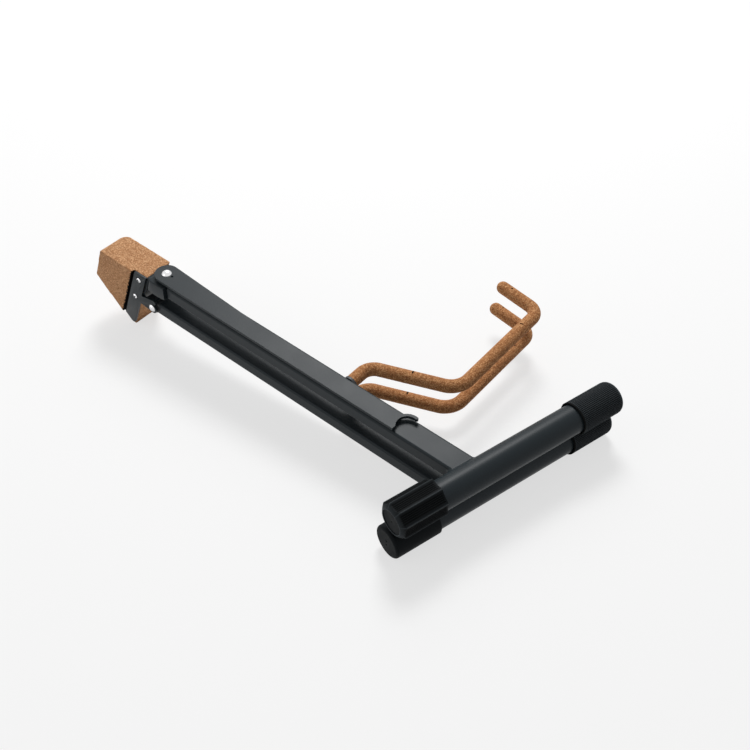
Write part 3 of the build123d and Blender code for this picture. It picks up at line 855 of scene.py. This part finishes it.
@dataclass(frozen=True)
class LevellingCap(Cap):
    """The off-centre cap with eight hollowed sides, smooth ridges and a raised rim at its end."""

    sides: int = 8
    ridge_radius: float = 18.2
    ridge_turn: float = 25.0
    crest: float = 0.10
    hollow: float = 0.85
    offset: float = 1.4
    offset_turn: float = 140.0
    taper: float = 4.0
    rim: float = 13.0
    vent: float = 0.8
    vent_depth: float = 2.5
    disc: float = 0.8
    # Full painted highlight on the end rim and no painted shade at the mouth.
    rim_highlight: float = 1.0
    mouth_shade: float = 0.0

    @property
    def shift(self) -> Vector:
        """From the runner's axis to the middle of the grip."""
        return self.runner.outward(math.radians(self.offset_turn)) * self.offset

    @property
    def start(self) -> float:
        """Angle of the first point round the grip, which lies on a ridge."""
        return math.radians(self.ridge_turn)

    def around(self) -> int:
        """Number of points round the cap, the same number on each side."""
        return self.sides * 2 * round(math.tau * self.radius / self.cell / self.sides)

    def swing(self, angle: float) -> float:
        """How far an angle is from the nearest ridge, as a share of half a side."""
        side = math.tau / self.sides
        return abs((angle + side / 2) % side - side / 2) / (side / 2)

    def outer(self, angle: float, down: float) -> float:
        """Outer radius at an angle from the first ridge and a depth below the mouth."""
        half = math.pi / self.sides
        flat = self.ridge_radius * math.cos(half)
        half_side = self.ridge_radius * math.sin(half)
        bow = (half_side**2 + self.hollow**2) / (2 * self.hollow)
        away = flat + bow - self.hollow
        turn = half * (1 - self.swing(angle))
        side = away * math.cos(turn) - math.sqrt(bow**2 - (away * math.sin(turn)) ** 2)
        into = max(0.0, down - (self.length - self.taper)) / self.taper
        cone = self.ridge_radius - (self.ridge_radius - self.rim) * into
        lip = max(0.0, self.mouth_edge - down)
        mouth_loss = self.mouth_edge - math.sqrt(max(0.0, self.mouth_edge**2 - lip**2))
        return min(side, self.ridge_radius - self.crest, cone) - mouth_loss

    def mesh_share(self, angle: float, down: float) -> float:
        """Share of the mesh's full depth at a place on the side: none on the ridges."""
        from_ridge = (self.swing(angle) - 0.16) / 0.10
        from_mouth = (down - 0.4 * self.cell) / self.cell
        from_end = (self.length - self.taper * 0.7 - down) / (0.5 * self.cell)
        return max(0.0, min(1.0, from_ridge, from_mouth, from_end))

    def wear_and_highlight(self, angle: float, down: float) -> float:
        """How much painted highlight a place gets: most on the ridges and the shoulder."""
        ridge = max(0.0, 1.0 - self.swing(angle) / 0.14)
        shoulder = max(0.0, min(1.0, (down - (self.length - self.taper)) / self.taper))
        return max(0.8 * ridge, 0.55 * shoulder)

    def rows(self) -> list[float]:
        """Depths below the mouth of the rings that make the side."""
        rim = [self.mouth_edge * (1 - math.cos(math.pi / 2 * step / 4)) for step in range(4)]
        count = 2 * round((self.length - self.mouth_edge) / self.cell)
        return rim + [self.mouth_edge + (self.length - self.mouth_edge) * step / count for step in range(count + 1)]

    def end_rings(self) -> list[tuple[float, float]]:
        """Radius and depth below the end of the rings that close the cap, down into the vent."""
        return [
            (self.rim - 0.35, -0.0),
            (self.rim - 0.8, 0.1),
            (self.rim - 1.0, self.disc),
            (self.rim * 0.5, self.disc - 0.05),
            (self.vent, self.disc),
            (self.vent, self.vent_depth),
        ]


@dataclass(frozen=True)
class Arm:
    """One arm: a bent bar in a cork coat, with the small cuts and the pin hole in the cork."""

    level: Level
    shift: float
    rise: float
    start_y: float = 15.5
    root: tuple[float, float] = (231.7, 40.7)
    trough: tuple[float, float] = (314.2, 73.6)
    lip: tuple[float, float] = (314.2, 208.7)
    tip: tuple[float, float] = (266.5, 215.7)
    bends: tuple[float, float, float] = (16.0, 22.0, 14.0)
    radius: float = 6.6
    spacing: float = 1.3
    sides: int = 52
    relief: float = 0.06
    pin: tuple[float, float] = (277.9, 214.3)

    def corners(self) -> list[Vector]:
        """The centreline's corners in leg millimetres."""
        places = [(self.root[0], self.start_y), self.root, self.trough, self.lip, self.tip]
        return [Vector((x + self.shift, y, self.rise)) for x, y in places]

    def line(self) -> list[Vector]:
        """The centreline as evenly spaced points: straight runs joined by arcs."""
        corners = self.corners()
        places = [corners[0]]
        for number, bend in enumerate(self.bends, start=1):
            before = (corners[number - 1] - corners[number]).normalized()
            after = (corners[number + 1] - corners[number]).normalized()
            half = before.angle(after) / 2
            centre = corners[number] + (before + after).normalized() * (bend / math.sin(half))
            start = corners[number] + before * (bend / math.tan(half))
            end = corners[number] + after * (bend / math.tan(half))
            self.run(places, start)
            sweep = math.pi - 2 * half
            steps = max(4, round(bend * sweep / self.spacing))
            first = start - centre
            pole = first.cross(end - centre).normalized()
            for step in range(1, steps + 1):
                places.append(centre + Matrix.Rotation(sweep * step / steps, 3, pole) @ first)
        self.run(places, corners[-1])
        return places

    def run(self, places: list[Vector], end: Vector) -> None:
        """Add a straight run up to a point."""
        start = places[-1]
        steps = max(1, round((end - start).length / self.spacing))
        for step in range(1, steps + 1):
            places.append(start.lerp(end, step / steps))

    def ring(self, centre: Vector, run: Vector, radius: float) -> list[Vector]:
        """Points round the centreline."""
        side = Vector((run.y, -run.x, 0)).normalized()
        step = math.tau / self.sides
        return [
            centre + side * radius * math.cos(n * step) + Vector((0, 0, radius * math.sin(n * step)))
            for n in range(self.sides)
        ]

    def coat(self, name: str, legs: LegFrame) -> bpy.types.Object:
        """The cork coat, closed by a rounded tip."""
        draft = Draft()
        line = self.line()
        last = None
        for number, centre in enumerate(line):
            ahead = line[min(number + 1, len(line) - 1)]
            behind = line[max(number - 1, 0)]
            ring = draft.ring(self.ring(centre, ahead - behind, self.radius))
            if last is None:
                draft.fan(ring, centre)
            else:
                draft.bridge(last, ring)
            last = ring
        run = (line[-1] - line[-2]).normalized()
        steps = 9
        for step in range(1, steps):
            turn = math.pi / 2 * step / steps
            centre = line[-1] + run * self.radius * math.sin(turn)
            ring = draft.ring(self.ring(centre, run, self.radius * math.cos(turn)))
            draft.bridge(last, ring)
            last = ring
        draft.fan(last, line[-1] + run * self.radius)
        made = draft.build(name, legs, 80)
        roughen(made, self.relief)
        return made

    def cutters(self, legs: LegFrame) -> list[bpy.types.Object]:
        """Thin blades and a pin that mark the top of the cork."""
        marks = [
            (Vector((271.0, 58.8, 0)), Vector((5.4, 1.5, 4.2)), 112.0),
            (Vector((313.4, 178.0, 0)), Vector((4.2, 1.1, 2.6)), 4.0),
            (Vector((*self.pin, 0)), Vector((1.8, 1.8, 5.0)), 20.0),
        ]
        made = []
        for number, (place, size, turn) in enumerate(marks):
            centre = place + Vector((self.shift, 0, self.rise + self.radius))
            draft = Draft()
            draft.block(centre, size, Matrix.Rotation(math.radians(turn), 3, "Z"))
            made.append(draft.build(f"mark_{self.level.value}_{number}", legs))
        return made

    def dress(self, shop: Workshop) -> None:
        """Build the arm's pieces and give them their finishes."""
        name = f"{self.level.value}_arm_cork"
        coat = self.coat(f"{name}_coat", shop.legs)
        shop.stand_in(coat, name, shop.finishes.arm_cork)
        # The walls of the cuts and the pin hole get the near-black painted shade.
        for cutter in self.cutters(shop.legs):
            carve(coat, cutter, shop.finishes.crevice_shade)
        smooth_by_angle(coat, 50)
        shop.keep(f"{self.level.value}_arm_rod", shop.finishes.drawn)
        shop.ease(f"{self.level.value}_arm_collar", 0.4, shop.finishes.nylon)


def carve(piece: bpy.types.Object, cutter: bpy.types.Object, walls: Finish | None = None) -> None:
    """Cut one mesh out of another and throw the cutter away.

    Args:
        piece: What is cut.
        cutter: The solid to cut away.
        walls: Finish of the cut's walls, where it isn't the piece's own; every caller gives the near-black painted
            shade.
    """
    cut = piece.modifiers.new("cut", "BOOLEAN")
    if walls is not None:
        cutter.data.materials.append(walls.material())
        cut.material_mode = "TRANSFER"
    cut.operation = "DIFFERENCE"
    cut.solver = "EXACT"
    cut.object = cutter
    apply_modifiers(piece)
    bpy.data.objects.remove(cutter)


def carved(piece: bpy.types.Object, draft: Draft, legs: LegFrame, walls: Finish | None = None) -> None:
    """Cut a draft's solid out of a piece."""
    carve(piece, draft.build(f"{piece.name}_cutter", legs), walls)


def spread(piece: bpy.types.Object, legs: LegFrame) -> tuple[Vector, Vector]:
    """The low and high corners of a piece's box in leg millimetres."""
    places = [legs.place(piece.matrix_world @ vertex.co) for vertex in piece.data.vertices]
    low = Vector(min(place[axis] for place in places) for axis in range(3))
    high = Vector(max(place[axis] for place in places) for axis in range(3))
    return low, high


@dataclass(frozen=True)
class Head:
    """The cork block, its steel bracket and the fixings."""

    grain: float = 0.9
    relief: float = 0.07
    screw_turns: tuple[float, float] = (12.0, 55.0)
    sink_radius: float = 3.7
    sink_depth: float = 0.5
    near: float = 4.0
    slot: tuple[float, float] = (1.1, 3.9)
    slot_depth: float = 1.2
    foot: tuple[float, float] = (-15.5, 39.7)
    lean: float = 22.5
    # Where the painted shade beside the plate lies across the face, how ragged its edge is and how far in it reaches.
    recess: tuple[float, float] = (-18.4, -12.0)
    ragged: float = 1.3
    shade_depth: float = 5.0

    def dress(self, shop: Workshop) -> None:
        """Build the head's pieces and give them their finishes."""
        cork = pressed_copy(shop.node("head_cork_block"), "head_cork_pressed", self.grain, self.relief)
        shop.stand_in(cork, "head_cork_block", shop.finishes.head_cork)
        self.paint_recess_shade(cork, shop)
        bracket = eased_copy(shop.node("head_bracket"), "head_bracket_eased", 0.35)
        shop.stand_in(bracket, "head_bracket", shop.finishes.coat)
        for name, turn in zip(("bracket_screw_1", "bracket_screw_2"), self.screw_turns):
            self.sink_screw(bracket, name, turn, shop)
        smooth_by_angle(bracket, 30)

    def paint_recess_shade(self, cork: bpy.types.Object, shop: Workshop) -> None:
        """Blacken the narrow gap beside the plate with painted shade."""
        # A second slot holds the painted shade for the gap.
        cork.data.materials.append(shop.finishes.crevice_shade.material())
        turn = math.radians(self.lean)
        down = Vector((-math.sin(turn), 0, -math.cos(turn)))
        out = Vector((math.cos(turn), 0, -math.sin(turn)))
        top = Vector((self.foot[0], 0, self.foot[1]))
        back = spread(cork, shop.legs)[0].y
        for face in cork.data.polygons:
            place = shop.legs.place(face.center)
            facing = shop.legs.turn.transposed() @ face.normal
            ragged = self.recess[0] - self.ragged * (0.5 + noise.noise(place * 0.7))
            inside = ragged < (place - top).dot(out) < self.recess[1] and abs(facing.dot(down)) < 0.6
            if inside and place.y < back + self.shade_depth and (facing.dot(out) > 0.5 or facing.y < -0.5):
                face.material_index = 1

    def sink_screw(self, bracket: bpy.types.Object, name: str, turn: float, shop: Workshop) -> None:
        """Cut a cross into a screw's head and a shallow seat into the plate round it, both with painted shade on their
        walls.
        """
        screw = copy_of(shop.node(name), f"{name}_crossed")
        low, high = spread(screw, shop.legs)
        tip = Vector(((low.x + high.x) / 2, low.y, (low.z + high.z) / 2))
        width, length = self.slot
        shop.stand_in(screw, name, shop.finishes.bright)
        for quarter in (0.0, 90.0):
            cross = Draft()
            spin = Matrix.Rotation(math.radians(turn + quarter), 3, "Y")
            cross.block(tip, Vector((width, 2 * self.slot_depth, length)), spin)
            carved(screw, cross, shop.legs, shop.finishes.crevice_shade)
        smooth_by_angle(screw, 30)
        places = [shop.legs.place(bracket.matrix_world @ vertex.co) for vertex in bracket.data.vertices]
        plate_face = min(spot.y for spot in places if math.hypot(spot.x - tip.x, spot.z - tip.z) < self.near)
        seat = Draft()
        seat.drum(Vector((tip.x, plate_face, tip.z)), Vector((0, 2 * self.sink_depth, 0)), self.sink_radius)
        carved(bracket, seat, shop.legs, shop.finishes.crevice_shade)


@dataclass(frozen=True)
class LegHinge:
    """The hinge between the legs and the shoe that holds the upper leg's end."""

    half_width: float = 15.7
    top: float = 40.4
    under: float = 25.6
    belly: float = 2.6
    mouth_x: float = 12.0
    web_top_x: float = -12.45
    web_slope: float = 0.4142
    corner: float = 4.5
    edge: float = 0.9
    steps: int = 8

    def shoe(self, legs: LegFrame) -> bpy.types.Object:
        """Painted shoe round the upper leg's end, seated on the web and full at its underside."""
        draft = Draft()
        rows = [(0.0, self.edge)]
        rows += [(self.edge * (1 - math.cos(turn)), self.edge * (1 - math.sin(turn))) for turn in (0.5, 1.0, math.pi / 2)]
        height = self.top - self.under
        levels = [(rise / height, inset) for rise, inset in rows]
        levels += [(1 - rise / height, inset) for rise, inset in reversed(rows)]
        rings = [draft.ring(self.outline(share, inset)) for share, inset in levels]
        for low, high in zip(rings, rings[1:]):
            draft.bridge(low, high)
        draft.faces.append(tuple(reversed(rings[0])))
        draft.faces.append(tuple(rings[-1]))
        return draft.build("upper_leg_shoe", legs, 30)

    def outline(self, share: float, inset: float) -> list[Vector]:
        """The shoe's outline at a share of its height, drawn in by an inset."""
        half = self.half_width - inset
        places = []
        for side in (-1, 1):
            run = []
            for step in range(self.steps + 1):
                turn = math.pi / 2 * step / self.steps
                run.append((self.corner * (1 - math.sin(turn)), side * (half - self.corner * (1 - math.cos(turn)))))
            places += run if side < 0 else list(reversed(run))
        spine = [(step / 10, side * half) for side in (1, -1) for step in (range(1, 10) if side > 0 else range(9, 0, -1))]
        ring = []
        for back, y in places:
            ring.append(self.lift(back, y, share, inset))
        for along, y in spine:
            ring.append(self.lift(self.corner + along * (self.mouth_x - self.web_top_x - self.corner), y, share, inset))
        return ring

    def lift(self, ahead: float, y: float, share: float, inset: float) -> Vector:
        """One point of the outline, so far ahead of the web."""
        reach = self.mouth_x - self.web_top_x
        sag = self.belly * math.sin(math.pi * min(1.0, ahead / reach))
        z = self.under - sag + (self.top - self.under + sag) * share
        web_x = self.web_top_x - (self.top - z) * self.web_slope
        return Vector((web_x + (self.mouth_x - inset - web_x) * ahead / reach, y, z))

    def dress(self, shop: Workshop) -> None:
        """Give the hinge's pieces their finishes."""
        shop.ease("hinge_yoke", 0.35, shop.finishes.coat)
        shop.keep("hinge_pin", shop.finishes.bright)
        shop.keep("hinge_stop_pin", shop.finishes.coat)
        shop.keep("leg_bolt", shop.finishes.drawn)
        shop.keep("hinge_bush", shop.finishes.nylon)
        shop.keep("hinge_washer_back", shop.finishes.nylon)
        shop.keep("hinge_washer_front", shop.finishes.nylon)
        shop.stand_in(self.shoe(shop.legs), "upper_leg_fitting", shop.finishes.coat)
        shop.ease("lower_leg_fitting", 0.5, shop.finishes.nylon)


@dataclass(frozen=True)
class BowHolder:
    """The flat hooked strip on its rivet, with the small pit of its detent."""

    pit: tuple[float, float] = (8.0, 0.0)
    pit_radius: float = 1.1
    pit_depth: float = 1.3

    def dress(self, shop: Workshop) -> None:
        """Give the strip and its rivet their finishes."""
        strip = eased_copy(shop.node("bow_holder"), "bow_holder_eased", 0.45)
        pit = Draft()
        top = spread(strip, shop.legs)[1].z
        pit.drum(Vector((*self.pit, top)), Vector((0, 0, 2 * self.pit_depth)), self.pit_radius)
        carved(strip, pit, shop.legs)
        shop.stand_in(strip, "bow_holder", shop.finishes.coat)
        shop.keep("bow_holder_rivet", shop.finishes.bright)
        shop.keep("bow_holder_spacer", shop.finishes.nylon)


@dataclass(frozen=True)
class Leg:
    """One leg tube with its runner, weld, caps and arm."""

    level: Level
    stagger: float = 4.8
    drop: float = 33.0
    reach: float = 384.0
    back_end: float = -88.0
    front_end: float = 165.7
    back_length: float = 48.0
    front_length: float = 50.7
    low_pin: tuple[float, float] = (273.9, 217.5)

    @property
    def upper(self) -> bool:
        """Whether this is the upper leg."""
        return self.level is Level.UPPER

    @property
    def shift(self) -> float:
        """How far this leg sits along X from the upper one."""
        return 0.0 if self.upper else -self.stagger

    @property
    def rise(self) -> float:
        """Height of this leg's middle."""
        return self.drop if self.upper else 0.0

    def dress_caps(self, shop: Workshop) -> None:
        """Build the moulded caps."""
        runner = Runner(self.level, self.reach + self.shift, self.rise)
        front = Cap(runner, self.front_end - self.front_length, self.front_end)
        name = f"{self.level.value}_front_cap"
        shop.stand_in(front.build(f"{name}_moulded", shop.legs), name, shop.finishes.rubber)
        # The back caps take the darker copy of the rubber, which paints their shade.
        dark = shop.finishes.shaded_rubber
        if self.upper:
            grip = LevellingCap(runner, self.back_end + self.back_length, self.back_end)
            shop.stand_in(grip.build("levelling_cap_moulded", shop.legs), "levelling_cap", dark)
        else:
            shop.ease("lower_back_cap", 0.3, dark)

    def dress(self, shop: Workshop) -> None:
        """Build the leg's pieces and give them their finishes."""
        name = self.level.value
        shop.ease(f"{name}_leg_tube", 0.3, shop.finishes.coat)
        shop.keep(f"{name}_runner_tube", shop.finishes.coat)
        shop.keep(f"{name}_runner_weld", shop.finishes.coat)
        self.dress_caps(shop)
        arm = Arm(self.level, self.shift, self.rise)
        if not self.upper:
            arm = replace(arm, pin=self.low_pin)
        arm.dress(shop)


@dataclass(frozen=True)
class Photographer:
    """The camera that sees the stand as the photograph does, placed in the leg frame."""

    focal_pixels: float = 1029.77
    sensor: float = 36.0
    azimuth: float = 38.266
    elevation: float = 47.387
    roll: float = 1.348
    distance: float = 992.6
    target: tuple[float, float, float] = (233.8, 48.4, 17.1)

    def shoot(self, legs: LegFrame) -> None:
        """Put the camera in place and make it the scene's."""
        az, el, roll = (math.radians(angle) for angle in (self.azimuth, self.elevation, self.roll))
        back = Vector((math.sin(az) * math.cos(el), -math.cos(az) * math.cos(el), math.sin(el)))
        right = Vector((0, 0, 1)).cross(back).normalized()
        up = back.cross(right)
        right, up = (
            right * math.cos(roll) + up * math.sin(roll),
            up * math.cos(roll) - right * math.sin(roll),
        )
        turn = legs.turn @ Matrix((right, up, back)).transposed()
        data = bpy.data.cameras.new("photograph")
        data.sensor_width = self.sensor
        data.lens = self.sensor * self.focal_pixels / PICTURE_SIZE
        data.clip_start = 0.05
        camera = bpy.data.objects.new("photograph", data)
        place = legs.point(Vector(self.target) + back * self.distance)
        camera.matrix_world = Matrix.Translation(place) @ turn.to_4x4()
        bpy.context.scene.collection.objects.link(camera)
        bpy.context.scene.camera = camera


@dataclass(frozen=True)
class Lamp:
    """A soft rectangular lamp that faces the stand."""

    name: str
    azimuth: float
    elevation: float
    distance: float
    size: float
    power: float

    def hang(self) -> None:
        """Add the lamp."""
        az, el = math.radians(self.azimuth), math.radians(self.elevation)
        away = Vector((math.sin(az) * math.cos(el), -math.cos(az) * math.cos(el), math.sin(el)))
        data = bpy.data.lights.new(self.name, "AREA")
        data.shape = "SQUARE"
        data.size = self.size
        data.energy = self.power
        lamp = bpy.data.objects.new(self.name, data)
        lamp.location = away * self.distance
        lamp.rotation_euler = away.to_track_quat("Z", "Y").to_euler()
        bpy.context.scene.collection.objects.link(lamp)


@dataclass(frozen=True)
class Studio:
    """Pale floor, soft lamps and an even surrounding light."""

    floor_size: float = 8.0
    floor_shade: float = 0.86
    lift: float = 0.66
    around: float = 0.27
    lamps: tuple[Lamp, ...] = (
        Lamp("key", 212.0, 57.0, 2.4, 0.75, 38.0),
        Lamp("sky", 220.0, 45.0, 2.4, 1.3, 13.0),
        Lamp("near side", 330.0, 30.0, 2.4, 1.6, 6.5),
    )

    def set_up(self) -> None:
        """Build the floor, the lamps and the world."""
        self.lay_floor()
        for lamp in self.lamps:
            lamp.hang()
        self.fill_world()
        bpy.context.scene.view_settings.view_transform = "Standard"

    def lay_floor(self) -> None:
        """A large pale floor that stays white to the eye and keeps the shadow."""
        half = self.floor_size / 2
        mesh = bpy.data.meshes.new("floor")
        mesh.from_pydata([(-half, -half, 0), (half, -half, 0), (half, half, 0), (-half, half, 0)], [], [(0, 1, 2, 3)])
        floor = bpy.data.objects.new("floor", mesh)
        bpy.context.scene.collection.objects.link(floor)
        material = bpy.data.materials.new("pale floor")
        material.use_nodes = True
        recipe = Recipe(material.node_tree)
        shade = opaque((self.floor_shade,) * 3)
        matt = recipe.node("ShaderNodeBsdfDiffuse", {}, {"Color": shade})
        white = recipe.node("ShaderNodeEmission", {}, {"Color": opaque((1.0, 1.0, 1.0)), "Strength": 1.0})
        path = recipe.node("ShaderNodeLightPath")
        seen = Value(recipe, path.outputs["Is Camera Ray"]) + Value(recipe, path.outputs["Is Glossy Ray"])
        mixed = recipe.node("ShaderNodeMixShader", {}, {0: seen * self.lift, 1: matt.outputs[0], 2: white.outputs[0]})
        recipe.node("ShaderNodeOutputMaterial", {}, {"Surface": mixed.outputs[0]})
        mesh.materials.append(material)

    def fill_world(self) -> None:
        """Even light from all round, white where it is seen or mirrored."""
        world = bpy.data.worlds.new("studio")
        world.use_nodes = True
        recipe = Recipe(world.node_tree)
        path = recipe.node("ShaderNodeLightPath")
        seen = (
            Value(recipe, path.outputs["Is Camera Ray"])
            + Value(recipe, path.outputs["Is Glossy Ray"])
            + Value(recipe, path.outputs["Is Transmission Ray"])
        )
        strength = self.around + seen * (1.0 - self.around)
        light = recipe.node("ShaderNodeBackground", {}, {"Color": opaque((1.0, 1.0, 1.0)), "Strength": strength})
        recipe.node("ShaderNodeOutputWorld", {}, {"Surface": light.outputs[0]})
        bpy.context.scene.world = world


def main() -> None:
    """Build the whole stand and its studio."""
    logging.basicConfig(level=logging.INFO, format="%(message)s")
    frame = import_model()
    legs = LegFrame.from_joints(frame["joints"])
    shop = Workshop(frame, legs)
    Photographer().shoot(legs)
    Studio().set_up()
    Head().dress(shop)
    LegHinge().dress(shop)
    BowHolder().dress(shop)
    Leg(Level.UPPER).dress(shop)
    Leg(Level.LOWER).dress(shop)
    LOG.info("%d pieces dressed", len(shop.reported))


if __name__ == "__main__":
    main()
